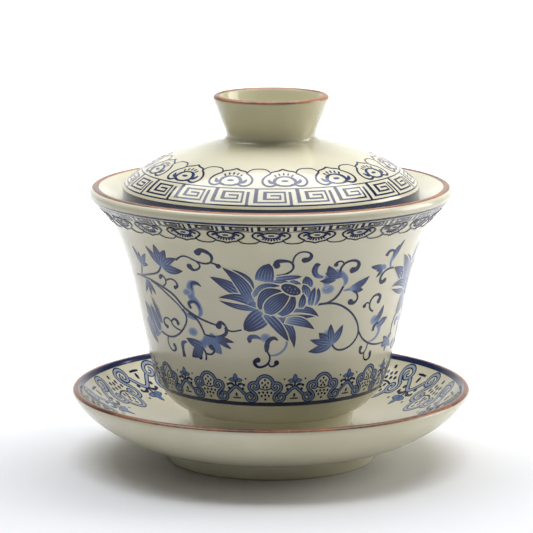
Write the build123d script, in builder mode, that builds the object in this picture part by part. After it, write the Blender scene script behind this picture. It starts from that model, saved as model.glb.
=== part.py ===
from build123d import *
import os
from math import cos, radians, sin, tan

# A gaiwan: a tea bowl with a flared lip, its lid with a hollow ring knob, and its saucer.
# Each piece is one revolved, fired body. Millimetres, +Z up, origin on the axis at the table.
# Every section is drawn as (radius, height) on the XZ plane.

# Driving dimensions of the saucer
saucer_radius = 55.4        # outermost circle of the rim
saucer_height = 20.4        # top of the rim above the table
saucer_rim_round = 1.1      # radius of the rolled rim
saucer_foot_radius = 29.3   # outside of the foot ring at the table
saucer_foot_width = 3.0
saucer_foot_height = 4.4
saucer_foot_flare = 1.1     # how much wider the foot ring is where it meets the plate
saucer_recess = 3.2         # hollow inside the foot ring
well_floor = 6.4            # height of the well that the bowl stands in
well_radius = 23.4
well_depth = 0.9

# Driving dimensions of the bowl
bowl_radius = 50.2          # outermost circle of the lip
bowl_height = 77.0          # top of the lip above the table, with the bowl in its saucer
bowl_lip_round = 1.8        # radius of the thick rolled lip
bowl_foot_radius = 21.7
bowl_foot_width = 3.0
bowl_foot_height = 8.0
bowl_foot_flare = 1.9       # how much wider the foot ring is at the crease under the body
bowl_recess = 3.6           # hollow inside the foot ring
bowl_floor = 15.8           # height of the inside floor above the table
seat_slope = 32.0           # degrees: the inner lip slope that the lid sits on
seat_inner_radius = 40.0    # where the seat turns down into the wall

# Driving dimensions of the lid
lid_radius = 41.0
lid_edge_round = 1.3        # half the thickness of the lid's edge
lid_edge_top = 76.2         # where the upright edge turns into the dome
lid_height = 102.1          # top of the knob above the table, with the whole set stacked
knob_radius = 15.9
knob_lip_round = 0.95
knob_floor = 92.0           # height of the floor of the hollow knob
knob_floor_radius = 8.0
neck_radius = 12.4
neck_height = 90.9

# Gap that keeps stacked glazed faces apart
stack_gap = 0.2

edge_round = 0.6            # softened edge of each foot ring


def on_circle(centre, radius, angle):
    """Point of a circle in the section plane, with the angle in degrees from the outward radius."""
    return (centre[0] + radius * cos(radians(angle)), centre[1] + radius * sin(radians(angle)))


# Saucer: foot ring, curved plate, rolled rim and the shallow well
rim_centre = (saucer_radius - saucer_rim_round, saucer_height - saucer_rim_round)
rim_outer_angle = -32
rim_inner_angle = 145
rim_outer = on_circle(rim_centre, saucer_rim_round, rim_outer_angle)
rim_inner = on_circle(rim_centre, saucer_rim_round, rim_inner_angle)
saucer_foot_top = (saucer_foot_radius + saucer_foot_flare, saucer_foot_height)
saucer_foot_inside = saucer_foot_radius - saucer_foot_width

with BuildPart() as saucer:
    with BuildSketch(Plane.XZ) as saucer_section:
        with BuildLine():
            Polyline(
                (0, saucer_recess),
                (saucer_foot_inside - saucer_foot_flare, saucer_recess),
                (saucer_foot_inside, 0),
                (saucer_foot_radius, 0),
                saucer_foot_top,
            )
            Spline(
                saucer_foot_top, (38.9, 6.4), (46.5, 10.3), (51.7, 14.3), rim_outer,
                tangents=((1, 0.12), (cos(radians(90 + rim_outer_angle)), sin(radians(90 + rim_outer_angle)))),
                tangent_scalars=(1, 1),
            )
            CenterArc(rim_centre, saucer_rim_round, rim_outer_angle, rim_inner_angle - rim_outer_angle)
            Spline(
                rim_inner, (49.4, 15.7), (43.0, 11.6), (34.0, 8.5), (well_radius + 2.4, well_floor + well_depth),
                tangents=((cos(radians(90 + rim_inner_angle)), sin(radians(90 + rim_inner_angle))), (-1, 0)),
                tangent_scalars=(1, 1),
            )
            Line((well_radius + 2.4, well_floor + well_depth), (well_radius + well_depth, well_floor + well_depth))
            Line((well_radius + well_depth, well_floor + well_depth), (well_radius, well_floor))
            Line((well_radius, well_floor), (0, well_floor))
            Line((0, well_floor), (0, saucer_recess))
        make_face()
        fillet(saucer_section.vertices().group_by(Axis.Y)[0], edge_round)
    revolve(axis=Axis.Z)

saucer.part.label = "saucer"

# Bowl: foot ring, rounded belly, straight wall, flared thick lip and the seat for the lid
foot_plane = well_floor + stack_gap
lip_centre = (bowl_radius - bowl_lip_round, bowl_height - bowl_lip_round)
lip_outer_angle = -44
lip_inner_angle = 90 + seat_slope
lip_outer = on_circle(lip_centre, bowl_lip_round, lip_outer_angle)
lip_inner = on_circle(lip_centre, bowl_lip_round, lip_inner_angle)
seat_drop = (lip_inner[0] - seat_inner_radius) * tan(radians(seat_slope))
seat_bottom = (seat_inner_radius, lip_inner[1] - seat_drop)
crease = (bowl_foot_radius + bowl_foot_flare, foot_plane + bowl_foot_height)
bowl_foot_inside = bowl_foot_radius - bowl_foot_width

with BuildPart() as bowl:
    with BuildSketch(Plane.XZ) as bowl_section:
        with BuildLine():
            Polyline(
                (0, foot_plane + bowl_recess),
                (bowl_foot_inside - 1.0, foot_plane + bowl_recess),
                (bowl_foot_inside, foot_plane),
                (bowl_foot_radius, foot_plane),
                crease,
            )
            Spline(
                crease, (29.5, 19.0), (32.4, 24.5), (34.2, 31.7), (36.3, 41.7),
                (38.4, 51.7), (41.4, 61.7), (44.4, 68.0), lip_outer,
                tangents=((1, 0.35), (cos(radians(90 + lip_outer_angle)), sin(radians(90 + lip_outer_angle)))),
                tangent_scalars=(1, 1),
            )
            CenterArc(lip_centre, bowl_lip_round, lip_outer_angle, lip_inner_angle - lip_outer_angle)
            Line(lip_inner, seat_bottom)
            Spline(
                seat_bottom, (37.9, 66.0), (35.9, 56.0), (32.8, 41.7), (30.2, 29.0),
                (24.5, 19.0), (14.0, bowl_floor),
                tangents=((-cos(radians(seat_slope)), -sin(radians(seat_slope))), (-1, 0)),
                tangent_scalars=(1, 1),
            )
            Line((14.0, bowl_floor), (0, bowl_floor))
            Line((0, bowl_floor), (0, foot_plane + bowl_recess))
        make_face()
        fillet(bowl_section.vertices().group_by(Axis.Y)[0], edge_round)
    revolve(axis=Axis.Z)

bowl.part.label = "bowl"

# Lid: domed cover with an upright edge and a hollow, flared knob ring
seat_normal = -90 + seat_slope
seat_line_at_edge = lip_inner[1] - (lip_inner[0] - lid_radius + lid_edge_round) * tan(radians(seat_slope))
edge_centre_height = seat_line_at_edge + (lid_edge_round + stack_gap) / cos(radians(seat_slope))
edge_centre = (lid_radius - lid_edge_round, edge_centre_height)
knob_lip_centre = (knob_radius - knob_lip_round, lid_height - knob_lip_round)
knob_outer_angle = -20
knob_inner_angle = 160
knob_outer = on_circle(knob_lip_centre, knob_lip_round, knob_outer_angle)
knob_inner = on_circle(knob_lip_centre, knob_lip_round, knob_inner_angle)
neck = (neck_radius, neck_height)
dome_start = (neck_radius + 1.7, neck_height - 1.6)

with BuildPart() as lid:
    with BuildSketch(Plane.XZ) as lid_section:
        with BuildLine():
            Line((0, 86.8), (0, knob_floor))
            Line((0, knob_floor), (knob_floor_radius, knob_floor))
            Spline(
                (knob_floor_radius, knob_floor), (11.0, 94.3), knob_inner,
                tangents=((1, 0), (cos(radians(knob_inner_angle - 90)), sin(radians(knob_inner_angle - 90)))),
                tangent_scalars=(1, 1),
            )
            CenterArc(knob_lip_centre, knob_lip_round, knob_inner_angle, knob_outer_angle - knob_inner_angle)
            Spline(
                knob_outer, (14.5, 97.2), (13.2, 93.8), neck,
                tangents=((cos(radians(knob_outer_angle - 90)), sin(radians(knob_outer_angle - 90))), (0, -1)),
                tangent_scalars=(1, 1),
            )
            Spline(neck, dome_start, tangents=((0, -1), (1, -0.22)), tangent_scalars=(1, 1))
            Spline(
                dome_start, (20.8, 87.6), (27.6, 85.4), (35.0, 81.8), (39.6, 78.4), (lid_radius, lid_edge_top),
                tangents=((1, -0.22), (0, -1)),
                tangent_scalars=(1, 1),
            )
            Line((lid_radius, lid_edge_top), (lid_radius, edge_centre[1]))
            CenterArc(edge_centre, lid_edge_round, 0, -180)
            Spline(
                (edge_centre[0] - lid_edge_round, edge_centre[1]), (37.2, 77.0), (32.6, 80.0),
                (25.6, 82.8), (18.0, 85.0), (8.0, 86.6), (0, 86.8),
                tangents=((0, 1), (-1, 0)),
                tangent_scalars=(1, 1),
            )
        make_face()
    revolve(axis=Axis.Z)

lid.part.label = "lid"

os.makedirs("parts", exist_ok=True)
export_step(saucer.part, "parts/saucer.step")
export_step(bowl.part, "parts/bowl.step")
export_step(lid.part, "parts/lid.step")

for piece in (saucer, bowl, lid):
    size = piece.part.bounding_box()
    print(piece.part.label, round(piece.part.volume / 1000, 1), "cm3", size.min, size.max)
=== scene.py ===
# %% [markdown]
# # A painted gaiwan
# A gaiwan is three fired pieces that stack: a saucer, a tea bowl with a flared lip and a domed lid
# with a hollow ring for a knob. The clay is covered by an ivory glaze, the lips are edged with a
# brown iron oxide, and everything blue is painted by hand in cobalt. This lesson spins the three
# pieces, cuts the painting out as thin shapes, wraps them on the clay and then mixes the glazes.
# The CAD frame is loaded first, because every piece has to sit where the frame says.

# %% Load the frame
from math import ceil, cos, hypot, pi, radians, sin, sqrt

import bmesh
import bpy
import numpy as np
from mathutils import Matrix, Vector


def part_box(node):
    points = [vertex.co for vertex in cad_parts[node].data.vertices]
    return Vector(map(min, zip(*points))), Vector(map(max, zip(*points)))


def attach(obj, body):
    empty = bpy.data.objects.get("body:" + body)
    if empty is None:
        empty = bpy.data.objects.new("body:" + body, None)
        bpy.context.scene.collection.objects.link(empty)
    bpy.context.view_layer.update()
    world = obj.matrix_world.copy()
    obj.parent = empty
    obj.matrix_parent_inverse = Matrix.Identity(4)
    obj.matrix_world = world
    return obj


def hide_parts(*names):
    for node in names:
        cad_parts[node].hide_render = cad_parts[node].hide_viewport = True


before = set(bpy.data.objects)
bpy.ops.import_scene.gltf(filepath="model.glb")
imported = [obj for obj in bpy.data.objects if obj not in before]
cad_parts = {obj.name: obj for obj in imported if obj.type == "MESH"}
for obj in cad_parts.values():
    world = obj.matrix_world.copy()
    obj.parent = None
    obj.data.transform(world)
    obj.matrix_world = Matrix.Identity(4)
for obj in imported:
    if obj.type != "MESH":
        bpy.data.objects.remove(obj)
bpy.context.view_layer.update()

# %% [markdown]
# ## Units and a small hand
# Blender works in metres and a potter in millimetres, so one value turns the second into the first.
# Operators act on all that is selected, and the loaded nodes start selected, so one small helper
# leaves edit mode and clears the selection, as a click on nothing would.

# %% Units and selection
MM = 0.001
FULL_TURN = 2 * pi


def clear_selection():
    """Nothing is selected and no object is in edit mode."""
    if bpy.context.object and bpy.context.object.mode != "OBJECT":
        bpy.ops.object.mode_set(mode="OBJECT")
    bpy.ops.object.select_all(action="DESELECT")


clear_selection()
print("selected now:", len(bpy.context.selected_objects))

# %% [markdown]
# ## The camera
# The set is seen from a little above the lip, from far away through a long lens, so that its
# ellipses stay flat and quiet. The camera is placed by its distance and height and aimed along the
# line of sight. It stands a little to the left of the axis, which keeps the set just right of centre.

# %% Camera
CAMERA_DISTANCE = 843.3 * MM
CAMERA_HEIGHT = 211.1 * MM
CAMERA_LEFT = 1.25 * MM
CAMERA_PITCH = 10.56
CAMERA_LENS = 208.4
NEAREST_SEEN = 0.05

bpy.ops.object.camera_add(
    location=(-CAMERA_LEFT, -CAMERA_DISTANCE, CAMERA_HEIGHT),
    rotation=(radians(90 - CAMERA_PITCH), 0, 0),
)
camera = bpy.context.object
camera.name = "studio_camera"
camera.data.lens = CAMERA_LENS
camera.data.clip_start = NEAREST_SEEN
bpy.context.scene.camera = camera
print("camera looks down by", CAMERA_PITCH, "degrees through", CAMERA_LENS, "mm")

# %% [markdown]
# ## Outlines of the three pieces
# A thrown pot is its outline turned on a wheel, so only the outline matters. Each one is a chain of
# (radius, height) points. Long curves pass smoothly through a few points: a cubic is solved so that
# the slope and the bend agree at every joint. Rounded lips are plain arcs. The same points shape the
# CAD pieces, so what is spun here lies on the frame.

# %% A smooth line through a few points
def smooth(points, start=None, end=None, steps=10):
    """Points of a cubic line through all the points; start and end are directions, or None."""
    spots = np.array(points, float)
    gaps = np.hypot(*np.diff(spots, axis=0).T)
    count = len(spots)
    system = np.zeros((count, count))
    target = np.zeros((count, 2))
    for row in range(1, count - 1):
        before, after = gaps[row - 1], gaps[row]
        system[row, row - 1:row + 2] = after, 2 * (before + after), before
        rise = (spots[row] - spots[row - 1]) / before * after + (spots[row + 1] - spots[row]) / after * before
        target[row] = 3 * rise
    for row, near, gap, way in ((0, 1, gaps[0], start), (count - 1, count - 2, gaps[-1], end)):
        system[row, row] = 1
        if way is None:
            system[row, near] = 0.5
            target[row] = 1.5 * (spots[max(row, near)] - spots[min(row, near)]) / gap
        else:
            target[row] = np.array(way) / hypot(*way)
    slopes = np.linalg.solve(system, target)
    line = []
    for part in range(count - 1):
        gap = gaps[part]
        for step in range(steps):
            t = step / steps
            line.append(
                (2 * t**3 - 3 * t**2 + 1) * spots[part] + (t**3 - 2 * t**2 + t) * gap * slopes[part]
                + (3 * t**2 - 2 * t**3) * spots[part + 1] + (t**3 - t**2) * gap * slopes[part + 1]
            )
    line.append(spots[-1])
    return [tuple(float(value) for value in spot) for spot in line]


def heading(angle):
    """Direction of an angle in degrees."""
    return (cos(radians(angle)), sin(radians(angle)))


def arc(centre, radius, first, last, steps=12):
    """Points of an arc between two angles in degrees."""
    angles = [first + (last - first) * step / steps for step in range(steps + 1)]
    return [
        (centre[0] + radius * heading(angle)[0], centre[1] + radius * heading(angle)[1]) for angle in angles
    ]


print("a smooth line of", len(smooth([(0, 0), (1, 2), (3, 3)])), "points")

# %% [markdown]
# The saucer's outline runs from under its foot, out along the belly, over the rolled rim and back
# down the inside to the well in which the bowl stands. The stretch from the rim to the well is kept
# on its own too, because the border is painted on it.

# %% Saucer outline
saucer_rim = (54.3, 19.3)
saucer_rim_round = 1.1
saucer_lip = arc(saucer_rim, saucer_rim_round, -32, 145)
saucer_belly = smooth(
    [(30.4, 4.4), (38.9, 6.4), (46.5, 10.3), (51.7, 14.3), saucer_lip[0]], (1, 0.12), heading(58),
)
saucer_inside = smooth(
    [saucer_lip[-1], (49.4, 15.7), (43.0, 11.6), (34.0, 8.5), (25.8, 7.3)], heading(235), (-1, 0),
)
saucer_foot = [(0, 3.2), (25.2, 3.2), (26.0, 0.5), (26.5, 0.0), (28.8, 0.0), (29.4, 0.5)]
saucer_well = [(24.3, 7.3), (23.4, 6.4), (0, 6.4)]
saucer_outline = saucer_foot + saucer_belly + saucer_lip[1:-1] + saucer_inside + saucer_well
print("saucer outline:", len(saucer_outline), "points")

# %% [markdown]
# The bowl's outline climbs from its foot ring round the belly and up the wall, which flares by more
# than forty degrees just under the thick rolled lip. Inside, a straight slope under the lip carries
# the lid, and then the wall falls to a rounded floor.

# %% Bowl outline
bowl_lip_centre = (48.4, 75.2)
bowl_lip_round = 1.8
bowl_lip = arc(bowl_lip_centre, bowl_lip_round, -44, 122, 20)
bowl_wall = smooth(
    [(23.6, 14.6), (29.5, 19.0), (32.4, 24.5), (34.2, 31.7), (36.3, 41.7), (38.4, 51.7), (41.4, 61.7),
     (44.4, 68.0), bowl_lip[0]],
    (1, 0.35), heading(46),
)
bowl_seat_end = (40.0, 72.07)
bowl_inside = smooth(
    [bowl_seat_end, (37.9, 66.0), (35.9, 56.0), (32.8, 41.7), (30.2, 29.0), (24.5, 19.0), (14.0, 15.8)],
    heading(212), (-1, 0),
)
bowl_foot = [(0, 10.2), (17.7, 10.2), (18.6, 7.1), (19.1, 6.6), (21.2, 6.6), (21.8, 7.1)]
bowl_outline = bowl_foot + bowl_wall + bowl_lip[1:] + bowl_inside + [(0, 15.8)]
print("bowl outline:", len(bowl_outline), "points")

# %% [markdown]
# The lid is followed from the middle of its underside, out to the rounded edge, up the dome to the
# neck and over the lip of the hollow knob.

# %% Lid outline
lid_edge = (39.7, 73.65)
lid_edge_round = 1.3
knob_lip_centre = (14.95, 101.15)
knob_lip_round = 0.95
knob_lip = arc(knob_lip_centre, knob_lip_round, -20, 160)
lid_underside = smooth(
    [(38.4, 73.65), (37.2, 77.0), (32.6, 80.0), (25.6, 82.8), (18.0, 85.0), (8.0, 86.6), (0, 86.8)],
    (0, 1), (-1, 0),
)
lid_dome = smooth(
    [(41.0, 76.2), (39.6, 78.4), (35.0, 81.8), (27.6, 85.4), (20.8, 87.6), (14.1, 89.3)],
    (0, 1), (-1, 0.22), 14,
)
lid_neck = smooth([(14.1, 89.3), (12.4, 90.9)], (-1, 0.22), (0, 1))
knob_side = smooth([(12.4, 90.9), (13.2, 93.8), (14.5, 97.2), knob_lip[0]], (0, 1), heading(70))
knob_cup = smooth([knob_lip[-1], (11.0, 94.3), (8.0, 92.0)], heading(250), (-1, 0))
lid_outline = lid_underside[::-1] + arc(lid_edge, lid_edge_round, 180, 360)[1:] + lid_dome + lid_neck[1:]
lid_outline += knob_side[1:] + knob_lip[1:-1] + knob_cup + [(0, 92.0)]
print("lid outline:", len(lid_outline), "points")

# %% [markdown]
# ## Spinning the clay
# A circle primitive gives the right number of points already joined in a ring. They are laid along
# the outline, the edge that closes the ring on the axis is deleted, and Spin turns the chain once
# round. The first and last columns and the poles are merged, the faces are turned outwards, and the
# shading is smooth except where the foot ring turns a sharp corner.

# %% Spin a piece on the wheel
WHEEL_STEPS = 256
SEAM = 0.001
SHARP_CORNER = 35


def turned(name, outline, closed=False):
    """A new object: the outline in millimetres, turned once about the axis."""
    clear_selection()
    bpy.ops.mesh.primitive_circle_add(
        vertices=len(outline), radius=1, fill_type="NOTHING", location=(0, 0, 0),
    )
    piece = bpy.context.object
    piece.name = name
    for vertex, (radius, height) in zip(piece.data.vertices, outline):
        vertex.co = (radius * MM, 0, height * MM)
    bpy.ops.object.mode_set(mode="EDIT")
    if not closed:
        bpy.ops.mesh.select_all(action="DESELECT")
        ring = bmesh.from_edit_mesh(piece.data)
        ring.verts.ensure_lookup_table()
        joint = ring.edges.get((ring.verts[0], ring.verts[-1]))
        joint.select_set(True)
        bpy.ops.mesh.delete(type="EDGE")
    bpy.ops.mesh.select_all(action="SELECT")
    bpy.ops.mesh.spin(steps=WHEEL_STEPS, angle=FULL_TURN, center=(0, 0, 0), axis=(0, 0, 1))
    bpy.ops.mesh.select_all(action="SELECT")
    bpy.ops.mesh.remove_doubles(threshold=SEAM * MM)
    bpy.ops.mesh.normals_make_consistent(inside=False)
    bpy.ops.object.mode_set(mode="OBJECT")
    bpy.ops.object.shade_smooth_by_angle(angle=radians(SHARP_CORNER))
    return piece


vessels = {
    "saucer": turned("saucer_clay", saucer_outline),
    "bowl": turned("bowl_clay", bowl_outline),
    "lid": turned("lid_clay", lid_outline),
}
for node, piece in vessels.items():
    low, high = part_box(node)
    size = piece.dimensions
    print(piece.name, [round(v / MM, 2) for v in size], "mm, its node",
          [round(v / MM, 2) for v in high - low])

# %% [markdown]
# ## Where the paint lies
# A border is painted along a stretch of an outline: the bowl's outer wall, the lid's dome or the
# saucer's inside. On such a stretch a place is given by how far along it lies, and the clay's
# outward direction there says which way paint lifts off it.

# %% Places along an outline
def along(path, spots):
    """Radius, height and outward direction at distances along a path, in millimetres."""
    line = np.array(path, float)
    reach = np.concatenate([[0], np.cumsum(np.hypot(*np.diff(line, axis=0).T))])
    way = np.gradient(line, reach, axis=0)
    way /= np.hypot(*way.T)[:, None]
    columns = (line[:, 0], line[:, 1], way[:, 1], -way[:, 0])
    return [np.interp(spots, reach, column) for column in columns]


def length(path):
    """Length of a path in millimetres."""
    return float(np.hypot(*np.diff(np.array(path, float), axis=0).T).sum())


lid_side = arc(lid_edge, lid_edge_round, 330, 360, 4)[:-1] + lid_dome
print("bowl wall", round(length(bowl_wall), 1), "mm, lid dome", round(length(lid_dome), 1), "mm")

# %% [markdown]
# ## Rings
# Lines and bands that run right round are turned like the clay itself: the stretch of outline is
# lifted a few hundredths of a millimetre, copied a little below the surface, and the closed loop is
# spun. Each ring also carries how much cobalt lies in it, as an attribute that the glaze reads.

# %% Turn a ring
LIFT = 0.03
BODY = 0.15
RING_STEP = 0.4


def soak(piece, cobalt):
    """The same strength of cobalt on the whole piece."""
    strength = piece.data.attributes.new("cobalt", "FLOAT", "POINT")
    strength.data.foreach_set("value", [cobalt] * len(piece.data.vertices))


def ring(name, path, start, end):
    """A thin closed ring on a path between two distances along it."""
    spots = np.linspace(start, end, max(3, ceil(abs(end - start) / RING_STEP) + 1))
    radius, height, out, up = along(path, spots)
    top = list(zip(radius + out * LIFT, height + up * LIFT))
    bottom = list(zip(radius - out * BODY, height - up * BODY))
    return turned(name, top + bottom[::-1], closed=True)


print("paint lies", LIFT, "mm proud and is", BODY, "mm deep")

# %% [markdown]
# ## A flat painting
# The borders and the lotus scroll are painted flat first, with x running round the piece and y
# running up it, both in millimetres. Every touch of the brush is a grid primitive whose points are
# laid out by a small function, all inside one mesh in edit mode. Cobalt strength is kept at every
# point, so a touch can run from pale to dark, and the UV map keeps the fine scratched veins.

# %% One touch of the brush
LAYER = 0.012
STAGGER = 0.0012
DARKENING = 0.6


def blank(name):
    """An empty flat painting, open in edit mode."""
    clear_selection()
    bpy.ops.mesh.primitive_plane_add(size=MM, location=(0, 0, 0))
    painting = bpy.context.object
    painting.name = name
    bpy.ops.object.mode_set(mode="EDIT")
    bpy.ops.mesh.delete(type="VERT")
    painting["touches"] = 0
    return painting


def touch(columns, rows, place, ink, layer=0, veins=0, vein_ink=0.75):
    """A grid laid out by place(u, v), with u and v from 0 to 1 across and along the touch.

    Ink is one strength, a pair from start to end, or a function of u and v.
    """
    painting = bpy.context.object
    bpy.ops.mesh.select_all(action="DESELECT")
    bpy.ops.mesh.primitive_grid_add(x_subdivisions=columns, y_subdivisions=rows, size=2)
    mesh = bmesh.from_edit_mesh(painting.data)
    strength = mesh.verts.layers.float.get("cobalt") or mesh.verts.layers.float.new("cobalt")
    marks = mesh.loops.layers.uv.verify()
    mesh.verts.ensure_lookup_table()
    mesh.faces.ensure_lookup_table()
    if not callable(ink):
        first, last = ink if isinstance(ink, tuple) else (ink, ink)
        ink = lambda u, v: first + (last - first) * v**DARKENING
    lift = LIFT + LAYER * layer + STAGGER * (painting["touches"] % 7)
    painting["touches"] += 1
    count = (columns + 1) * (rows + 1)
    for face in mesh.faces[-columns * rows:]:
        for corner in face.loops:
            u, v = corner.vert.co.x / 2 + 0.5, corner.vert.co.y / 2 + 0.5
            fade = vein_ink * sin(pi * min(1, 1.15 * v)) if veins else 0
            corner[marks].uv = (u * veins, max(0, fade))
    for vertex in mesh.verts[-count:]:
        u, v = vertex.co.x / 2 + 0.5, vertex.co.y / 2 + 0.5
        x, y = place(u, v)
        vertex.co = (x * MM, y * MM, (lift + 0.3 * LAYER * v) * MM)
        vertex[strength] = ink(u, v)
    bmesh.update_edit_mesh(painting.data)


print("a layer of paint is", LAYER, "mm")

# %% [markdown]
# A few kinds of touch make the whole painting. A brush line follows points and swells through given
# widths. A vine is a dark line laid over what is there. A wash is a wide, watery line that fades at
# its edges, as thin cobalt does when it runs.

# %% Lines, vines and washes
SPREAD = 1.13


def brush(points, widths, ink=1.0, layer=0, steps=5, across=1):
    """A line through the points, its width running through the given widths."""
    line = np.array(smooth(points, steps=steps))
    way = np.gradient(line, axis=0)
    way /= np.hypot(*way.T)[:, None]
    side = np.stack([way[:, 1], -way[:, 0]], 1)
    reach = np.concatenate([[0], np.cumsum(np.hypot(*np.diff(line, axis=0).T))])
    half = np.interp(reach / reach[-1], np.linspace(0, 1, len(widths)), widths) * SPREAD / 2
    rows = len(line) - 1

    def place(u, v):
        row = round(v * rows)
        return line[row] + side[row] * half[row] * (2 * u - 1)

    touch(across, rows, place, ink, layer)


def vine(points, *widths):
    """A dark line over the first layer."""
    brush(points, widths, 0.92, layer=1)


def wash(points, widths, ink):
    """A pale line that fades at its edges and ends."""
    def thin(u, v):
        return ink * (1.05 - 0.75 * abs(2 * u - 1) ** 3) * min(1, 0.35 + 6 * min(v, 1 - v))

    brush(points, widths, thin, across=6)


print("wet paint spreads a line to", SPREAD, "times its width")

# %% [markdown]
# A dot is a square grid whose corners are drawn in until its rim is round, so it keeps even cells. A
# pool is the same shape with its ink thinned towards the rim, for cobalt that settled in water.

# %% Dots and pools
CELL = 0.9


def spot(centre, half_wide, half_tall, tilt):
    """Where the points of a round or long spot lie."""
    turn, lean = heading(tilt)

    def place(u, v):
        a, b = 2 * u - 1, 2 * v - 1
        x, y = half_wide * a * sqrt(1 - b * b / 2), half_tall * b * sqrt(1 - a * a / 2)
        return centre[0] + x * turn - y * lean, centre[1] + x * lean + y * turn

    return place


def dot(centre, half_wide, half_tall=None, tilt=0, ink=1.0, layer=0):
    """A round or long spot."""
    half_tall = half_tall or half_wide
    cells = max(2, ceil(2 * max(half_wide, half_tall) / CELL))
    touch(cells, cells, spot(centre, half_wide, half_tall, tilt), ink, layer)


def pool(centre, half_wide, half_tall, tilt=0, ink=0.4):
    """A soft spot of thin wash, palest at its rim."""
    def thin(u, v):
        a, b = (2 * u - 1) ** 2, (2 * v - 1) ** 2
        return ink * (1.05 - 0.9 * (a + b - a * b) ** 1.5)

    touch(8, 8, spot(centre, half_wide, half_tall, tilt), thin)


print("touches are laid in cells of about", CELL, "mm")

# %% [markdown]
# A petal bends from its base to its tip. It may have a line left bare round it, which is how the
# painter keeps petals apart: the bare line is the same shape, a little larger, with no cobalt in it,
# laid just under the petal. A leaf is a few petals from one base.

# %% Petals
def petal(base, tip, half, bend=0, ink=(0.5, 0.9), veins=0, layer=0, edge=0.0, edge_ink=0.0, root=0.12,
          swell=0.85, blunt=0.85):
    """A leaf or petal; bend pushes its middle to the left of its way, edge leaves a line round it.

    Root is how wide it starts, a small swell puts its widest part near the base, and a small
    blunt rounds its ends.
    """
    way = np.array(tip, float) - base
    far = hypot(*way)
    way /= far
    side = np.array([-way[1], way[0]])

    def shape(extra):
        def place(u, v):
            reach = v * (far + 2 * extra) - extra
            open_here = 0 < v < 1 or root and not v
            fill = abs(sin(pi * (root + (1 - root) * v) ** swell)) ** blunt if open_here else 0
            middle = side * bend * 4 * v * (1 - v)
            wide = half * fill + extra * min(1, 3 * fill)
            return np.array(base) + way * reach + middle + side * (1 - 2 * u) * wide
        return place

    rows, columns = max(6, ceil(far / CELL)), max(2, ceil(2 * half / CELL))
    if edge:
        touch(columns, rows, shape(edge), edge_ink, 2 * layer)
    touch(columns, rows, shape(0), ink, 2 * layer + 1, veins)


def leaf(base, lobes, ink, veins=0):
    """A leaf of several lobes, each given by its tip, half its width and its bend."""
    for tip, half, bend in lobes:
        petal(base, tip, half, bend, ink, veins, layer=1)


print("a petal of 12 mm gets", ceil(12 / CELL), "rows")

# %% [markdown]
# A fret is a square-cornered line for the key border. Its long runs are cut up, because a long flat
# face would lie as a chord across the round clay.

# %% Frets
FRET_STEP = 1.3


def fret(points, widths, ink=1.0):
    """A square-cornered line; each run has its own width, and long runs get more points."""
    runs = [np.array(b, float) - a for a, b in zip(points, points[1:])]
    sides = [np.array([run[1], -run[0]]) / hypot(*run) * wide / 2 for run, wide in zip(runs, widths)]
    line = [(points[0], sides[0])]
    for number, run in enumerate(runs):
        pieces = ceil(hypot(*run) / FRET_STEP)
        line += [(points[number] + run * step / pieces, sides[number]) for step in range(1, pieces)]
        corner = sides[number] + sides[number + 1] if number + 1 < len(runs) else sides[number]
        line.append((points[number + 1], corner))
    rows = len(line) - 1

    def place(u, v):
        middle, side = line[round(v * rows)]
        return np.array(middle) + side * (2 * u - 1)

    touch(1, rows, place, ink)


print("the runs of a fret are cut every", FRET_STEP, "mm, to follow the clay")

# %% [markdown]
# ## Wrapping a painting
# Solidify gives the flat painting its thin body. Then every point is carried to the clay: x becomes
# an angle at the border's middle radius, y a distance along the outline and z the lift off it. Spin,
# set to make duplicates, repeats the painting round the axis, and the faces are turned outwards.

# %% Wrap and repeat
SOFT_CORNER = 40
WELD = 0.003


def put_round(painting, path, start, girth, copies=1, step=None, turn=0, size=(1, 1)):
    """Wrap the open painting on the clay and repeat it; start is where its y = 0 lies on the path."""
    bpy.ops.mesh.select_all(action="SELECT")
    bpy.ops.transform.resize(value=(size[0], size[1], 1), center_override=(0, 0, 0))
    bpy.ops.mesh.remove_doubles(threshold=WELD * MM)
    bpy.ops.object.mode_set(mode="OBJECT")
    body = painting.modifiers.new("body", "SOLIDIFY")
    body.thickness = BODY * MM
    body.offset = -1
    bpy.ops.object.modifier_apply(modifier=body.name)
    spots = np.zeros(len(painting.data.vertices) * 3, np.float32)
    painting.data.vertices.foreach_get("co", spots)
    x, y, lift = (spots.astype(float) / MM).reshape(-1, 3).T
    radius, height, out, up = along(path, start + y)
    angle = x / girth + radians(turn)
    radius = radius + out * lift
    placed = np.stack([radius * np.sin(angle), -radius * np.cos(angle), height + up * lift], 1) * MM
    painting.data.vertices.foreach_set("co", placed.astype(np.float32).ravel())
    bpy.ops.object.mode_set(mode="EDIT")
    bpy.ops.mesh.select_all(action="SELECT")
    if copies > 1:
        step = step or 360 / copies
        whole = radians(step * (copies - 1))
        bpy.ops.mesh.spin(steps=copies - 1, angle=whole, center=(0, 0, 0), axis=(0, 0, 1), dupli=True)
    bpy.ops.mesh.select_all(action="SELECT")
    bpy.ops.mesh.normals_make_consistent(inside=False)
    bpy.ops.object.mode_set(mode="OBJECT")
    bpy.ops.object.shade_smooth_by_angle(angle=radians(SOFT_CORNER))
    painting.data.update()
    print(painting.name, "has", painting["touches"], "touches and", len(painting.data.polygons), "faces")


def fitted(girth, copies, wide):
    """How far a unit is stretched so that the copies close the circle."""
    return FULL_TURN * girth / copies / wide


print("a flat touch is", BODY, "mm thick before it is wrapped")

# %% [markdown]
# ## The lid's borders
# The key border on the lid is a row of square spirals. One is drawn with a thick upright on its left,
# then a thin line that winds inwards, and a short upright links it to the next. Thin lines close the
# border above and below. The same unit, squeezed, makes the narrow key border under the bowl's lip.

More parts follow.
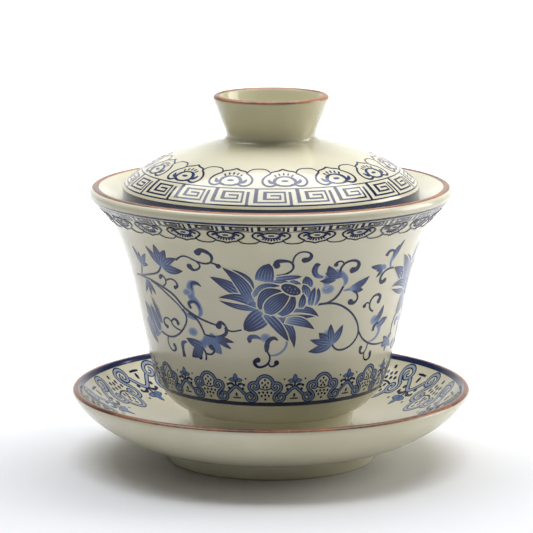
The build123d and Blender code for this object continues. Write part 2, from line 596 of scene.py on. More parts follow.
# %% Key unit
KEY_WIDE, KEY_TALL = 11.4, 6.4


def key_unit(level=0.5, upright=0.55):
    """One square spiral of the key border; level and upright are the widths of its thin lines."""
    fret([(1.5, 6.2), (1.5, 1.3), (9.3, 1.3), (9.3, 4.95), (3.9, 4.95), (3.9, 2.45), (8, 2.45), (8, 3.7),
          (5.4, 3.7)], [1.1, level, upright, level, 1, level, upright, level])
    fret([(10.7, 0.2), (10.7, 5)], [0.8])


LID_KEYS = 21
lid_key = blank("lid_key_border")
key_unit()
key_foot = length(lid_side) - 29.3
put_round(lid_key, lid_side, key_foot, LID_KEYS * KEY_WIDE / FULL_TURN, LID_KEYS, turn=-8.4)

# %% [markdown]
# Above the key border fourteen cloud heads point to the knob. Each is a three-lobed outline round an
# eye, with dark cheeks and a fan of short dashes, and thin arcs link it to its neighbours. The bowl
# has the same heads upside down and smaller.

# %% Cloud head
CLOUD_WIDE, CLOUD_TALL = 15.1, 8.35


def both(draw, points, *values, **named):
    """Draw the same touch on the right and, mirrored, on the left."""
    draw(points, *values, **named)
    draw([(-x, y) for x, y in points], *values, **named)


def cloud_head(dashes=5):
    """One cloud head, pointing up, with the arcs that link it to the next."""
    both(brush, [(0, 0.35), (1.2, 0.45), (2.5, 0.8), (3.6, 0.3), (5.1, 0.5), (6.1, 2), (5.7, 4.1),
                 (4.2, 5.7)], [0.5, 0.6, 0.55, 0.6, 0.5])
    both(brush, [(4.2, 5.5), (3.5, 6.7), (2, 7.2), (0, 8.25)], [0.5, 0.45, 0.55])
    both(brush, [(4, 6.3), (4.7, 7.5), (6, 8.2), (7.6, 8.35)], [0.4, 0.32])
    both(brush, [(0, 4.5), (1.5, 4.2), (2.6, 3.2), (2.9, 2.1), (2.4, 1.1), (1.4, 0.8)],
         [0.4, 0.65, 0.95, 0.7, 0.35], 0.85)
    both(brush, [(2.8, 1.6), (3.8, 1.9), (4.5, 3.1)], [0.7, 1.05, 0.45], 0.8)
    dot((0, 2.5), 1.05, 0.45, ink=0.75)
    for number in range(dashes):
        lean = (number - (dashes - 1) / 2) * 100 / dashes
        out, up = sin(radians(lean)), cos(radians(lean))
        dash = [(out * 3.4, 2.2 + up * 2.9), (out * 3.9, 2.2 + up * 3.5), (out * 4.4, 2.2 + up * 4.1)]
        brush(dash, [0.35, 0.55, 0.35])


LID_CLOUDS, LID_CLOUD_GIRTH = 14, 31.24
lid_clouds = blank("lid_cloud_border")
cloud_head()
cloud_foot = length(lid_side) - 22.25
cloud_size = (fitted(LID_CLOUD_GIRTH, LID_CLOUDS, CLOUD_WIDE), 1)
put_round(lid_clouds, lid_side, cloud_foot, LID_CLOUD_GIRTH, LID_CLOUDS, turn=6.4, size=cloud_size)

# %% [markdown]
# Two thin lines close the key border and a broad band runs round the lid's edge, where it dips into
# the bowl. They are turned rings. Painting them as part of the unit would leave a joint at each copy.

# %% Lid rings
lid_key_lines = [
    ring("lid_key_line_low", lid_side, key_foot - 0.1, key_foot + 0.3),
    ring("lid_key_line_high", lid_side, key_foot + KEY_TALL - 0.3, key_foot + KEY_TALL + 0.05),
]
lid_edge_band = ring("lid_edge_band", lid_side, 0.2, 3.7)
RING_INK = 0.95
for piece in lid_key_lines + [lid_edge_band]:
    soak(piece, RING_INK)
print("lid rings:", lid_edge_band.name, [piece.name for piece in lid_key_lines])

# %% [markdown]
# ## The bowl's upper borders
# Under the bowl's lip runs a dark line, then the narrow key border, then twenty-four hanging cloud
# heads. The key and the heads are the lid's own units, resized before they are wrapped.

# %% Bowl key and clouds
BOWL_KEYS, BOWL_KEY_GIRTH, BOWL_KEY_TALL = 32, 47.5, 2.6
bowl_key = blank("bowl_key_border")
key_unit(0.8, 0.8)
bowl_key_size = (fitted(BOWL_KEY_GIRTH, BOWL_KEYS, KEY_WIDE), BOWL_KEY_TALL / KEY_TALL)
put_round(bowl_key, bowl_wall, 64.0, BOWL_KEY_GIRTH, BOWL_KEYS, turn=-5.3, size=bowl_key_size)

BOWL_CLOUDS, BOWL_CLOUD_GIRTH, BOWL_CLOUD_TALL = 24, 46, 4.6
bowl_clouds = blank("bowl_cloud_border")
cloud_head(dashes=7)
bowl_cloud_size = (fitted(BOWL_CLOUD_GIRTH, BOWL_CLOUDS, CLOUD_WIDE), -BOWL_CLOUD_TALL / CLOUD_TALL)
put_round(bowl_clouds, bowl_wall, 63.9, BOWL_CLOUD_GIRTH, BOWL_CLOUDS, size=bowl_cloud_size)

# %% [markdown]
# The bowl has four turned rings: the dark line on the curve under the lip, the two lines of the key
# border, and the ring at the belly on which the next border stands. Each is given by where it starts
# and ends along the wall.

# %% Bowl rings
BOWL_RING_INK = 0.97
bowl_over_lip = bowl_wall + bowl_lip[1:6]
bowl_rings = [
    ring("bowl_line_under_lip", bowl_over_lip, 66.75, 67.5),
    ring("bowl_key_line_high", bowl_wall, 66.2, 66.4),
    ring("bowl_key_line_low", bowl_wall, 63.95, 64.15),
    ring("bowl_ring_at_belly", bowl_wall, 10.15, 11.45),
]
for piece in bowl_rings:
    soak(piece, BOWL_RING_INK)
print("bowl rings:", [piece.name for piece in bowl_rings])

# %% [markdown]
# ## The lappet border
# Round the foot of the bowl, and larger on the saucer, runs a border of scrolls. A scroll is a pale
# blue ribbon with dark edges that ends in two spirals; two of them carry a three-lobed arch, and
# between them stands a small flower on an upturned V. The ribbon is one dark brush line with a
# narrower pale one laid over it. Both are several cells wide, to hug the hollow of the saucer.

# %% Ribbon
RIBBON_EDGE = 0.27


def ribbon(points, wide=0.95, line=RIBBON_EDGE, fill=0.36, layer=0):
    """A pale band with dark edges."""
    brush(points, [wide], 1.0, layer, steps=4, across=4)
    brush(points, [wide - 2 * line], fill, layer + 1, steps=4, across=2)


print("a ribbon keeps a dark edge of", RIBBON_EDGE, "mm on each side")

# %% [markdown]
# The unit is drawn once, with its dots and its flower, and put round the bowl thirteen times. The
# scroll is drawn on the right and mirrored, since an arch has one on each side.

# %% Lappet
LAPPET_WIDE, LAPPETS = 16.4, 13


def lappet(**band):
    """One arch with its scrolls, and the flower on its right; band sets how its ribbons are drawn."""
    scroll = [(2.75, 5.1), (3.05, 4.6), (2.5, 4.25), (1.95, 4.9), (2.2, 5.8), (3.2, 6.1), (4.25, 5.5),
              (4.35, 4.3), (3.4, 3.2), (2.6, 2.1), (2.6, 1), (3.5, 0.4), (4.7, 0.55), (5.4, 1.5),
              (5, 2.5), (4.1, 2.6), (3.7, 1.85), (4.25, 1.4)]
    both(ribbon, scroll, **band)
    ribbon([(-2.3, 6.1), (-1.95, 6.9), (-1.3, 7.7), (0, 8.2), (1.3, 7.7), (1.95, 6.9), (2.3, 6.1)],
           layer=2, **band)
    brush([(-1.7, 4.5), (-0.9, 4.15), (0, 4), (0.9, 4.15), (1.7, 4.5)], [0.3])
    for seed in [(0, 6.95), (-0.8, 6.1), (0.8, 6.1), (0, 5.5), (-0.5, 4.8), (0.5, 4.8)]:
        dot(seed, 0.3, 0.4)
    for seed in [(-1.7, 3.1), (-0.6, 3.2), (0.6, 3.2), (1.7, 3.1), (-1, 2.1), (0, 2.3), (1, 2.1), (0, 1)]:
        dot(seed, 0.33, 0.4)
    middle = LAPPET_WIDE / 2
    ribbon([(middle - 2.6, 2.4), (middle - 1.5, 3.6), (middle, 4.7), (middle + 1.5, 3.6),
            (middle + 2.6, 2.4)], **band)
    dot((middle, 2.3), 0.36, 0.66)
    brush([(middle - 1.2, 1.3), (middle, 1.25), (middle + 1.2, 1.3)], [0.3, 0.42, 0.3])
    brush([(middle, 4.8), (middle, 6.2)], [0.45])
    for way in (-1, 1):
        brush([(middle + way * 0.3, 4.9), (middle + way * 1.2, 5.6), (middle + way * 2.2, 5.5)],
              [0.3, 0.7, 0.3])
        dot((middle + way * 2.3, 5.3), 0.42)
        dot((middle + way * 2, 4.2), 0.4)
        dot((middle + way * 2.9, 7.2), 0.28)
        petal((middle, 6.75), (middle + way * 1.9, 6.7), 0.5, ink=0.45, edge=0.17, edge_ink=1.0)
    petal((middle, 6.7), (middle, 8.6), 0.5, ink=0.45, edge=0.17, edge_ink=1.0, layer=1)


bowl_lappets = blank("bowl_lappet_border")
lappet()
put_round(bowl_lappets, bowl_wall, 11.5, LAPPETS * LAPPET_WIDE / FULL_TURN, LAPPETS, turn=-2.8)

# %% [markdown]
# On the saucer the same border lies on the inside of the wall. Its scrolls stand on the dark band
# under the rim and its arches point to the well.

# %% Saucer border
saucer_over_rim = saucer_lip[-5:-1] + saucer_inside
saucer_crest = length(saucer_lip[-5:])
saucer_lappets = blank("saucer_lappet_border")
lappet(wide=0.82, line=0.2, fill=0.24)
SAUCER_GIRTH = 45.5
saucer_size = (fitted(SAUCER_GIRTH, LAPPETS, LAPPET_WIDE), 1.88)
put_round(saucer_lappets, saucer_over_rim, saucer_crest + 1.3, SAUCER_GIRTH, LAPPETS,
          turn=-3.8, size=saucer_size)
saucer_band = ring("saucer_band", saucer_over_rim, saucer_crest - 0.7, saucer_crest + 1.0)
soak(saucer_band, RING_INK)
print("the saucer's border starts", round(saucer_crest + 1.3, 2), "mm down from the rim")

# %% [markdown]
# ## The lotus
# A lotus opens on the front and back of the bowl and smaller growth winds round it. Its petals are
# laid from the back to the front. Each is pale at its base and dark at its tip, has fine veins
# scratched through it, and keeps a bare line round its edge. Measures are from the flower's middle.

# %% Lotus flower
BARE_LINE = 0.26


def lotus():
    """The open flower with its seed head."""
    def part(base, tip, half, bend, veins, layer, ink=(0.32, 1), **shape):
        petal(base, tip, half, bend, ink, veins, layer, BARE_LINE, **shape)

    pool((0.9, -0.4), 6.6, 5.2, 15, 0.17)
    part((-5.5, 0.2), (-9.9, 8.7), 1.3, -1.8, 3, 1, swell=1.0)
    part((-6.6, 0.3), (-16.2, 6), 1.75, -0.5, 4, 1)
    part((-5.4, -0.8), (-12.5, 9.2), 1.8, -1.1, 5, 2, swell=0.75)
    part((-3.8, -2.8), (-14.4, -0.8), 0.85, 0.5, 3, 1)
    part((-3.9, -2), (-14.5, -0.1), 1.2, -1.4, 3, 2)
    part((-1.9, -4.5), (-7.7, -9), 2.85, 0, 6, 1, root=0.25, swell=0.85, blunt=0.55)
    part((-1.9, 5.2), (-0.5, 10.8), 2.45, 0.2, 6, 1, root=0.3, swell=0.85, blunt=0.55)
    part((1.2, 6), (7.9, 6.6), 0.75, 0.1, 2, 1, (0.35, 0.85), blunt=0.45)
    part((0.2, 5.1), (4.9, 4.8), 0.6, 0.35, 2, 1, (0.35, 0.85))
    part((4.7, 5.2), (7.8, 4.3), 0.6, 0.2, 2, 1, (0.35, 0.85))
    part((9.9, 3.2), (8.8, 6.7), 1.45, 0, 4, 1, (0.4, 0.95), blunt=0.6)
    part((9.7, 0.4), (8.3, 4.3), 1.2, -0.2, 4, 2, (0.3, 0.85), blunt=0.6)
    part((11.7, -2.1), (12.6, 3), 1, -0.3, 2, 1, (0.25, 0.9), blunt=0.7)
    part((10.7, -2.1), (11.6, 3.3), 1, 0.2, 2, 2, (0.25, 0.9), blunt=0.7)
    part((8, -2.6), (8.5, 1.6), 1, -0.2, 3, 3, (0.4, 1), blunt=0.7)
    part((1.6, -6), (12.6, -5.3), 0.85, 0.3, 3, 1)
    part((4, -6.2), (12.4, -9.1), 1.35, 0.9, 4, 2, (0.12, 1))
    part((5.8, -3.6), (13.4, -5.5), 1, 1.3, 4, 2, swell=1.1)
    part((0.9, -5.5), (6.7, -14.4), 1.45, 1.7, 4, 1)
    part((-1.6, -4.2), (5, -12.2), 1.4, 0.3, 3, 2, blunt=0.7)
    part((-4.8, 1), (2.6, 3.9), 1.05, 1.4, 4, 3, (0.3, 0.9))
    part((-3.4, -2.6), (3.9, 2.1), 2, 1.9, 6, 4, (0.55, 1), root=0.05, swell=0.9, blunt=0.7)
    part((2.4, -4.6), (5.9, 1.6), 1.65, -0.9, 5, 4, (0.5, 1), root=0.1, swell=1.0, blunt=0.65)
    part((-1.7, -4), (4.8, 1.8), 2.35, 0.2, 7, 5, (0.4, 0.97), root=0.0, swell=0.78, blunt=0.62)
    dot((5.15, 2.9), 3.25, 1.85, -25, 0, layer=12)
    dot((5.15, 2.9), 2.8, 1.5, -25, 0.97, layer=13)
    for seed in [(3.5, 3.5), (4.3, 2.7), (4.8, 3.6), (5.3, 2.9), (5.9, 2), (6.2, 3), (6.9, 1.9), (5.1, 2.1)]:
        dot(seed, 0.2, ink=0.4, layer=14)


print("petals are kept", BARE_LINE, "mm apart")

# %% [markdown]
# A curl is a vine that thickens and ends in a round drop, where the brush was held still before it was
# lifted. Every vine on the bowl divides into some.

# %% Curl
def curl(points, start=0.4, end=1.0, drop=0.6):
    """A vine that thickens to a round drop at its end."""
    brush(points, [start, start, start * 1.2, end], 0.95, layer=1)
    dot(points[-1], drop, ink=0.97, layer=2)


print("a curl ends in a round drop")

# %% [markdown]
# A small sprig hangs under each flower, with two washes and three curls.

# %% Sprig
def sprig():
    """The small growth under the flower."""
    pool((-1.6, -11.2), 1.6, 1.4, 0, 0.36)
    brush([(-5.9, -12.6), (-6.3, -11.5), (-5.2, -10.9), (-2.8, -11.6)], [0.9, 1.2, 1, 0.4], (0.95, 0.5),
          layer=1)
    vine([(-1.3, -15.4), (-1.2, -13.2), (-0.6, -11.9), (1, -11.3), (1.9, -12)], 0.8, 1.4, 1.2, 1, 0.3)
    wash([(3.7, -10.6), (4.5, -12.6), (3.6, -14.8), (1.4, -16.2), (-0.6, -16.4)], [0.3, 0.7, 0.7, 0.5], 0.34)
    curl([(-1.2, -15.2), (-0.4, -16.8), (-0.9, -18.6), (-2.6, -19.7), (-4.4, -19.5), (-4.9, -18.3),
          (-3.9, -17.7)], 0.5, 1.3, 0.8)
    curl([(-0.9, -18.4), (-0.3, -19.5), (0.9, -19.4), (1.6, -18.5)], 0.4, 1, 0.8)


print("a sprig is ready to hang under each flower")

# %% [markdown]
# ## The scroll round the bowl
# One flat painting holds the front of the scroll, and it stays open while its parts are added. On the
# left a long vine swings up to a five-lobed leaf and sends curls down. Soft washes come first, as with
# a wet brush, and the dark tips and vines go over them.

# %% Left spray
scroll = blank("bowl_lotus_scroll")
pool((-29, 7.9), 2.3, 1.3, -20, 0.4)
leaf((-31, 7.4), [((-35.6, 12.9), 1.1, 0.3), ((-31.9, 14), 1.5, 0.2), ((-28.4, 12.7), 1.4, 0.4),
                    ((-25.3, 10.5), 1.1, 0.3), ((-24, 6.8), 1.35, -0.5)], (0.38, 0.92), 3)
brush([(-31.4, 7.6), (-33.2, 5.4), (-36.6, 4.1), (-41.5, 3), (-47, 2.2)], [0.5], 0.9)
curl([(-25.6, 9.9), (-22.4, 11.6), (-20.2, 10.8), (-18, 10), (-15.4, 10.4), (-14.8, 12.2),
      (-15.9, 13.6), (-17.5, 14), (-18.4, 13.2)], 0.45, 1.5, 0.95)
curl([(-15.6, 10.3), (-14.4, 10.1), (-13.4, 9.4)], 0.45, 1, 0.75)
curl([(-19.2, 10.3), (-18.5, 9), (-19.4, 7.9), (-20.8, 7.7), (-21.6, 8.6)], 0.45, 1.4, 0.85)
curl([(-32.6, 1.2), (-31.2, 2.4), (-31.3, 3.8), (-32.5, 4.3), (-33.1, 3.7)], 0.4, 1.1, 0.6)
curl([(-31, 3.1), (-29, 3.8), (-27.3, 3.2), (-27, 2), (-27.9, 1.5)], 0.4, 0.9, 0.6)
vine([(-44, 2.5), (-38.2, 2.2), (-32.7, 0.8), (-28.8, -1.1), (-25.7, -4.2), (-23.1, -5.7), (-20.2, -6.9),
      (-16, -8.1)], 0.45, 0.55, 0.6, 0.6, 0.45)
brush([(-38, 1.9), (-35, 0.9), (-31.3, -1.2), (-27.9, -3.6), (-26, -5.4)], [0.45, 0.5, 0.4], 0.8)
wash([(-27, -4.6), (-25, -6.2), (-22, -7.2)], [0.6, 1.1, 0.6], 0.35)
vine([(-26.4, -4.6), (-25.5, -7.1), (-26.7, -9.8), (-29.6, -12.4), (-33.2, -13.6), (-35.9, -13.3),
      (-38.2, -12.5)], 0.5)
brush([(-24.6, -5.6), (-21.9, -7.1), (-20.6, -9.2), (-19.8, -11.4)], [0.5, 0.6, 0.5], 0.9, layer=1)
curl([(-28.1, -11.1), (-30.7, -10.4), (-31.8, -9.2), (-30.9, -8.2), (-29.5, -8.4), (-29.1, -9.1)])
curl([(-31.6, -9.5), (-32.5, -8.5), (-34, -8.2), (-35.2, -9), (-35.1, -10.2), (-34.1, -10.8)])
curl([(-34.5, -13.5), (-35.1, -15.2), (-34.4, -17.1), (-33, -17.7), (-31.9, -16.8), (-32.3, -15.9)])
wash([(-19.4, 2.9), (-20.7, 3.6), (-22.2, 3.2), (-22.8, 1.2), (-22.7, -0.6), (-21.4, -2), (-20.5, -3.6),
      (-20.4, -5.2), (-21.8, -6.6)], [0.4, 1.5, 2.1, 2.5, 2.3, 1.7, 1.5, 1.2, 0.4], 0.42)
pool((-24, 0.6), 1.5, 1.1, 15, 0.38)
brush([(-19.2, 2.8), (-20.5, 3.7), (-22, 3.3), (-22, 1.6)], [0.3, 0.9, 0.8, 0.2], 0.85, layer=1)
brush([(-23.3, -4.1), (-23.9, -2.7), (-22.6, -2), (-21.1, -2.5), (-20.4, -4.2)],
      [0.6, 1, 0.8, 0.7, 0.2], 0.85, 1)
pool((-23.8, -10.9), 1.75, 1.35, 0, 0.38)
wash([(-19.6, -11.2), (-19.9, -13.2), (-21.4, -14.5), (-23.8, -14.2)], [1, 2.2, 2.6, 2.2], 0.42)
petal((-21.2, -14.6), (-26.7, -13), 1.3, 0.3, (0.5, 0.93), 3, layer=1)
petal((-21.6, -14.8), (-25.4, -18.4), 1.7, 0.4, (0.6, 0.95), 5, layer=2)
brush([(-26.6, -14.2), (-28.3, -14.7), (-28.7, -16.6), (-28.6, -18.8)], [0.4, 1.2, 0.9, 1.2], (0.5, 0.9))
vine([(-21.4, -15), (-20.2, -16.8), (-20.4, -18.8)], 0.6, 0.5)
curl([(-20.1, -16.8), (-18.2, -16.8), (-17.2, -15.6), (-18.2, -14.7)], 0.5, 1.2, 0.75)
dot((-22.3, -17.9), 0.75, 1, 0, 0.95)
curl([(-8.4, -9.1), (-12.7, -9), (-13.2, -8), (-14.6, -7.4), (-15.1, -8.3)], 0.4, 1.5, 0.95)
vine([(-13, -8.6), (-12.9, -10), (-14.2, -11.2), (-16.2, -11.6), (-19.6, -11.3)], 0.9, 0.9, 0.6, 0.4)
petal((-18.6, -11.2), (-14.8, -16.6), 2.1, -0.4, (0.4, 0.45))
petal((-16.4, -11.9), (-10.7, -12.9), 0.8, 0.1, (0.45, 0.93), 0, layer=1)
petal((-15.9, -12.4), (-11.7, -14.9), 0.75, 0.1, (0.45, 0.9), 0, layer=1)
brush([(-42.6, 3.2), (-41.3, 5.4), (-40.6, 7)], [0.5], 0.9)
leaf((-40.4, 6.2), [((-43, 11.4), 0.8, 0.2), ((-40.5, 10.2), 0.7, 0.2), ((-37, 10.2), 0.9, 0.2),
                    ((-37.4, 6.6), 0.7, 0.2)], (0.4, 0.9), 2)
leaf((-40.4, 1.7), [((-36.9, -2), 0.75, 0.2), ((-39.4, -2.6), 0.7, 0.2), ((-42.6, -2.2), 0.6, 0.2)],
     (0.45, 0.9))
for base, tip, half, veins, layer in [
    ((-39.5, -14.2), (-45.2, -5), 2.6, 5, 0), ((-38.2, -12.6), (-41.6, -5.2), 1.4, 3, 1),
    ((-36.6, -10.2), (-39.9, -3.2), 1, 0, 2), ((-45.5, -9.8), (-41.4, -16.8), 1.7, 3, 1),
]:
    petal(base, tip, half, -0.3, (0.45, 0.9), veins, layer, 0.2)
print("touches on the left:", scroll["touches"])

# %% [markdown]
# The right side isn't a mirror of the left: its vine rolls down and round a leaf, and smaller leaves
# climb towards the lip. So it is drawn on its own, touch by touch, pale before dark.

# %% Right spray
vine([(12, -2.1), (15.2, -1.8), (18.3, -2.2), (21.6, -3.8), (24.7, -6.4), (26.6, -9.2), (27.2, -11.8),
      (26.2, -13.9), (24.3, -15.3), (21.7, -15.9), (19.5, -15.3), (18.3, -13.9)], 0.6, 0.5, 0.5, 0.5)
vine([(15.2, -1.8), (17.5, -0.7), (18.9, 0.9), (19.8, 2.8)], 0.45, 0.6, 0.6)
vine([(27.3, -11.2), (29.2, -13.4), (31.9, -15.1), (35.2, -16.1), (39.7, -16.4), (42.6, -16.4)], 0.5)
curl([(32.1, -15.2), (31.8, -16.9), (30.7, -18), (29.3, -17.6), (29.3, -16.3)], 0.4, 1.1, 0.7)
curl([(31.1, -17.9), (31.4, -19.6), (33, -20.3), (34.2, -19.6), (34.1, -18.4)], 0.4, 1.1, 0.65)
wash([(19.7, 2.6), (20.3, 4.4), (19.2, 6.1), (17.2, 6.7), (15.2, 5.9), (14.7, 4.2), (15.2, 2.7)],
     [0.6, 1.4, 1.6, 2.6, 2.6, 2, 1.2], 0.4)
pool((15.3, 2.3), 2, 1.5, 0, 0.36)
petal((17.2, 5.6), (14.6, 9.5), 1.35, 0.4, (0.45, 0.93), 5, layer=1)
petal((18.9, 6.2), (13.9, 7.3), 1.1, 0.4, (0.5, 0.9), 4, layer=1)
petal((17.2, 5.3), (12.7, 4.9), 0.9, 0.2, (0.4, 0.93), 0, layer=1)
brush([(13.6, 6.1), (11.7, 6.7), (11, 8.3), (11.5, 10)], [0.6, 1.2, 1.4, 1.2], (0.4, 0.7))
brush([(11.6, 6.4), (10.8, 7.3), (10.7, 9), (11.4, 10.2), (12.2, 9.7)], [0.25, 0.4, 0.5, 0.7],
      0.9, layer=1)
curl([(18.2, 6.4), (18.2, 8.3), (19.3, 9.9), (21.1, 10.4), (22.8, 9.9), (23.4, 8.6), (22.8, 7.6),
      (21.8, 7.4)], 0.6, 1.5, 0.95)
curl([(18.9, 9.6), (18, 10.5), (16.9, 10.3), (16.6, 9.6)], 0.4, 1, 0.65)
wash([(19.9, 1.5), (21, 1.6), (22.6, 1.9)], [0.35, 0.6, 1.4], 0.42)
pool((23.3, 2), 1.5, 1.1, 10, 0.4)
petal((22.6, 2), (28, 4.9), 1.15, -0.5, (0.36, 0.85), 0, layer=0)
petal((23.2, 2), (26.4, 3.1), 0.65, 0.1, (0.4, 0.85), 0, layer=1)
petal((22.7, 1.7), (26.6, 1), 1, -0.1, (0.36, 0.88), 0, layer=0)
curl([(23.4, 1), (24.7, -0.1), (25, -1.6), (23.9, -2.5), (22.8, -2.1)], 0.5, 1.4, 0.9)
pool((17, -11.6), 1.7, 2.4, 40, 0.36)
leaf((18.2, -13.6), [((10.9, -15.6), 1.3, 0.4), ((11.2, -12.1), 1.1, 0.3), ((13.8, -10.2), 1.5, 0.3),
                     ((17.3, -7.9), 1.2, 0.2), ((21.3, -8.5), 1.15, -0.3)], (0.34, 0.93), 3)
wash([(32.1, -14.9), (35, -14.4), (36.5, -12.8), (36.3, -11), (34.6, -9.6)], [0.4, 0.7, 1.1, 1.9, 2.2],
     0.38)
pool((33.2, -8.7), 1.7, 1.4, 20, 0.38)
petal((34, -9.3), (36.9, -4.9), 1, -0.5, (0.38, 0.9), 0, layer=1)
petal((35.8, -10.9), (40, -9), 1.15, 0.3, (0.36, 0.93), 2, layer=1)
brush([(33.5, -12), (33.8, -10.6), (35, -9.9), (36.2, -10.6)], [0.9, 1, 0.8, 0.4], 0.9, layer=1)
curl([(32.1, -6.1), (30.5, -5), (30.2, -3.2), (31.2, -1.7), (32.9, -1.3), (34.2, -2.1), (33.8, -3.4)],
     0.5, 1.2, 0.75)
curl([(30.3, -3.7), (28.9, -3.2), (28.1, -4)], 0.35, 0.8, 0.6)
leaf((42.9, -16.5), [((40.2, -14.6), 0.95, 0.1), ((39.6, -17.4), 0.95, 0.1), ((42.7, -19.4), 0.95, 0.1),
                     ((46.9, -18.5), 0.95, 0.1), ((46, -14.6), 0.95, 0.1)], (0.5, 0.92), 2)
curl([(43.6, -16.2), (45, -14.6), (44.8, -12.6), (45.4, -10.6), (46.6, -9.2)], 0.45, 0.7, 0.5)
for base, tip, half in [((31.8, 7.2), (27.7, 7.6), 0.8), ((32.2, 6.9), (30, 6), 0.6),
                        ((32.4, 6.6), (30.6, 4), 0.6), ((35.9, 9), (36.7, 12.9), 0.9),
                        ((36.5, 9.6), (38.4, 14.3), 0.75)]:
    petal(base, tip, half, 0.2, (0.34, 0.92), 0, layer=1)
pool((32.6, 6.9), 1.5, 0.9, -20, 0.38)
wash([(36.1, 6), (35.3, 7.8), (36, 9.6)], [0.5, 1, 2], 0.38)
brush([(35.9, 10.2), (34.8, 11.5), (33.3, 11.5), (32.5, 10.2)], [0.4, 0.7, 1.2], (0.6, 0.95), layer=1)
curl([(43.5, 4.6), (39.8, 5.4), (36.4, 6), (33.6, 5.3), (32.5, 3.6), (33.2, 2.2), (34.6, 2.6)],
     0.5, 1.1, 0.75)
curl([(5.3, 10.9), (5.6, 12.6), (6.7, 14), (8.4, 14.2), (9.7, 13.2), (9.3, 11.9), (8.2, 11.6)],
     0.4, 1.5, 0.85)
curl([(1.4, 7), (3.9, 7.6), (5.5, 9.3), (5, 10.9), (3.1, 11.5), (1.4, 11.1), (1.3, 10.1)],
     0.5, 1.5, 0.95)
print("touches with the right side:", scroll["touches"])

# %% [markdown]
# The sprig and the flower close the front painting, which is then wrapped and copied once to the back.
# Two more flowers, each with its sprig, fill the sides.

# %% The scroll round the bowl
SCROLL_GIRTH = 38.5
SCROLL_HEIGHT = 42.06
sprig()
lotus()
put_round(scroll, bowl_wall, SCROLL_HEIGHT, SCROLL_GIRTH, copies=2)

side_lotus = blank("bowl_side_lotus")
sprig()
lotus()
put_round(side_lotus, bowl_wall, SCROLL_HEIGHT, SCROLL_GIRTH, copies=2, step=193, turn=80)

# %% [markdown]
# ## The brown lips
# The lips of the bowl, the saucer and the knob are wiped nearly bare of glaze and brushed with iron.
# Each is a thin ring like the blue ones, with its own finish. Its start and end are given as angles on
# the lip's arc, whose own first angle is taken off to get distances along it.

# %% Iron lips
lips = {
    "bowl": (bowl_lip, bowl_lip_round, 44, 58, 116),
    "saucer": (saucer_lip, saucer_rim_round, 32, 24, 112),
    "lid": (knob_lip, knob_lip_round, 20, 10, 135),
}
lip_rings = {}
for node, (path, rounding, below, low, high) in lips.items():
    start, end = rounding * radians(below + low), rounding * radians(below + high)
    lip_rings[node] = ring(node + "_iron_lip", path, start, end)
    print(lip_rings[node].name, "is", round(end - start, 2), "mm wide")

# %% [markdown]
# ## Shader maths
# Shader maths is easier to read as plain expressions, so one small class wraps a socket: adding or
# multiplying two of them puts down Math nodes, and any other node comes from one method.

# %% Sockets as numbers
class Wire:
    """A shader socket that takes part in Python maths."""

    def __init__(self, tree, socket):
        self.tree, self.socket = tree, socket

    def node(self, kind, settings=None, output=0, **inputs):
        """Any node: its settings first, then its sockets by name with _ for a space."""
        made = self.tree.nodes.new(kind)
        for name, value in (settings or {}).items():
            setattr(made, name, value)
        for name, value in inputs.items():
            key = int(name[1:]) if name[0] == "n" and name[1:].isdigit() else name.replace("_", " ")
            if isinstance(value, Wire):
                self.tree.links.new(value.socket, made.inputs[key])
            else:
                made.inputs[key].default_value = value
        return Wire(self.tree, made.outputs[output])

    def maths(self, operation, first, second=0.5):
        return self.node("ShaderNodeMath", {"operation": operation}, n0=first, n1=second)

    def __add__(self, other): return self.maths("ADD", self, other)
    def __radd__(self, other): return self.maths("ADD", other, self)
    def __sub__(self, other): return self.maths("SUBTRACT", self, other)
    def __rsub__(self, other): return self.maths("SUBTRACT", other, self)
    def __mul__(self, other): return self.maths("MULTIPLY", self, other)
    def __rmul__(self, other): return self.maths("MULTIPLY", other, self)

    def held(self):
        """The value held between 0 and 1."""
        return self.node("ShaderNodeClamp", Value=self)

    def span(self, low, high, start=0.0, end=1.0):
        """The range low to high moved smoothly to start to end."""
        return self.node("ShaderNodeMapRange", {"interpolation_type": "SMOOTHSTEP"}, Value=self, From_Min=low,
                         From_Max=high, To_Min=start, To_Max=end)

    def blend(self, first, second):
        """A colour mixed from two by this value."""
        return self.node("ShaderNodeMix", {"data_type": "RGBA"}, output=2, n0=self, n6=first, n7=second)

    def ramp(self, stops):
        """A colour read from a ramp of (place, colour) stops."""
        made = self.node("ShaderNodeValToRGB", Fac=self)
        band = made.socket.node.color_ramp
        while len(band.elements) < len(stops):
            band.elements.new(0.5)
        for element, (place, colour) in zip(band.elements, stops):
            element.position, element.color = place, colour
        return made


print("a wire knows", [name for name in vars(Wire) if name[0] != "_"])

# %% [markdown]
# Paint charts give colours from 0 to 255 as the eye sees them, while a shader counts light, so they
# are converted. A finish is a material and its shader. What is the same all over is set on the
# shader's own sockets, and only what changes over the surface is joined by a wire.

# %% Colours and finishes
def colour(red, green, blue):
    """A colour from its 0 to 255 values, as light adds up."""
    parts = [value / 255 for value in (red, green, blue)]
    return tuple(v / 12.92 if v <= 0.04045 else ((v + 0.055) / 1.055) ** 2.4 for v in parts) + (1,)


def finish_of(name, **sockets):
    """A new material, its shader with the given sockets set, and a wire to start from."""
    material = bpy.data.materials.new(name)
    material.use_nodes = True
    shader = material.node_tree.nodes["Principled BSDF"]
    for socket, value in sockets.items():
        shader.inputs[socket.replace("_", " ")].default_value = value
    return material, shader, Wire(material.node_tree, None)


def feed(wire, shader, socket):
    """Join a wire to a socket of the shader."""
    wire.tree.links.new(wire.socket, shader.inputs[socket])


print("a grey of 128 is", round(colour(128, 128, 128)[0], 3), "as light")

